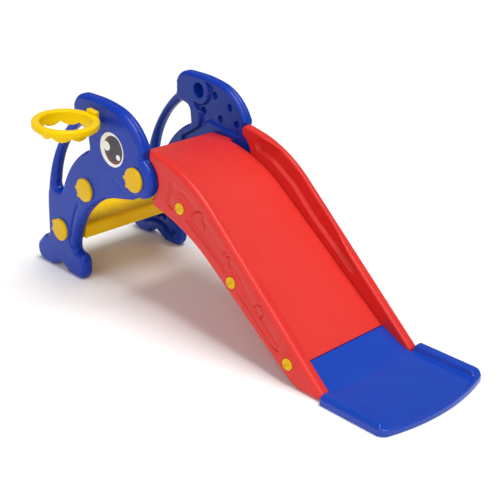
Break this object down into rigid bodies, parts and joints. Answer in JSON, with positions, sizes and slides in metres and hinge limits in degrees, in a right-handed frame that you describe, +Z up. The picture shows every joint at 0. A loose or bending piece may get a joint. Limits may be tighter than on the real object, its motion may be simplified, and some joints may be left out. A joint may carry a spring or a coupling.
{
  "type": "toddler slide",
  "caption": "Freestanding plastic toddler slide with fish-shaped side panels, steps, railed chute, exit tray and a swivelling ball hoop.",
  "frame": {"origin": "on the floor, on the middle plane between the side panels, under the centre of the exit tray's flat underside", "axes": "+X runs down the slide and out over the tray, +Y towards the side without the hoop, +Z up"},
  "size_m": [1.333, 0.5698, 0.5495],
  "materials": {
    "blue_panel": "satin blow-moulded, fine orange peel",
    "blue_tray": "satin blow-moulded",
    "red_bed": "satin blow-moulded",
    "red_rail": "satin blow-moulded",
    "yellow_step": "pebbled tread, satin sides",
    "yellow_hoop": "satin moulded",
    "yellow_knob": "satin moulded, fine grain",
    "eye_print": "printed vinyl",
    "steel_screw": "zinc plated"
  },
  "bodies": {
    "frame": {"hoop_side_panel": "blue_panel", "plain_side_panel": "blue_panel", "slide_bed": "red_bed", "hoop_side_rail": "red_rail", "plain_side_rail": "red_rail", "exit_tray": "blue_tray", "lower_step": "yellow_step", "upper_step": "yellow_step", "hoop_side_rail_screw_upper": "yellow_knob", "hoop_side_rail_screw_middle": "yellow_knob", "hoop_side_rail_screw_lower": "yellow_knob", "plain_side_rail_screw_upper": "yellow_knob", "plain_side_rail_screw_middle": "yellow_knob", "plain_side_rail_screw_lower": "yellow_knob", "tray_screws": "steel_screw", "hoop_side_eye_sticker": "eye_print", "plain_side_eye_sticker": "eye_print"},
    "hoop": {"ball_hoop": "yellow_hoop", "hoop_lock_nut": "yellow_hoop"},
    "hoop_side_low_knob": {"hoop_side_low_knob": "yellow_knob"},
    "hoop_side_middle_knob": {"hoop_side_middle_knob": "yellow_knob"},
    "hoop_side_snout_knob": {"hoop_side_snout_knob": "yellow_knob"},
    "plain_side_low_knob": {"plain_side_low_knob": "yellow_knob"},
    "plain_side_middle_knob": {"plain_side_middle_knob": "yellow_knob"},
    "plain_side_snout_knob": {"plain_side_snout_knob": "yellow_knob"}
  },
  "joints": [
    {"name": "hoop_swivel", "type": "hinge", "parent": "frame", "child": "hoop", "pos_m": [-0.888, -0.175, 0.505], "axis": [0, 1, 0], "continuous": true},
    {"name": "hoop_side_low_knob_turn", "type": "hinge", "parent": "frame", "child": "hoop_side_low_knob", "pos_m": [-1.08, -0.193, 0.131], "axis": [0, -1, 0], "continuous": true},
    {"name": "hoop_side_middle_knob_turn", "type": "hinge", "parent": "frame", "child": "hoop_side_middle_knob", "pos_m": [-0.95, -0.193, 0.285], "axis": [0, -1, 0], "continuous": true},
    {"name": "hoop_side_snout_knob_turn", "type": "hinge", "parent": "frame", "child": "hoop_side_snout_knob", "pos_m": [-0.733, -0.193, 0.371], "axis": [0, -1, 0], "continuous": true},
    {"name": "plain_side_low_knob_turn", "type": "hinge", "parent": "frame", "child": "plain_side_low_knob", "pos_m": [-1.08, 0.193, 0.131], "axis": [0, 1, 0], "continuous": true},
    {"name": "plain_side_middle_knob_turn", "type": "hinge", "parent": "frame", "child": "plain_side_middle_knob", "pos_m": [-0.95, 0.193, 0.285], "axis": [0, 1, 0], "continuous": true},
    {"name": "plain_side_snout_knob_turn", "type": "hinge", "parent": "frame", "child": "plain_side_snout_knob", "pos_m": [-0.733, 0.193, 0.371], "axis": [0, 1, 0], "continuous": true}
  ]
}
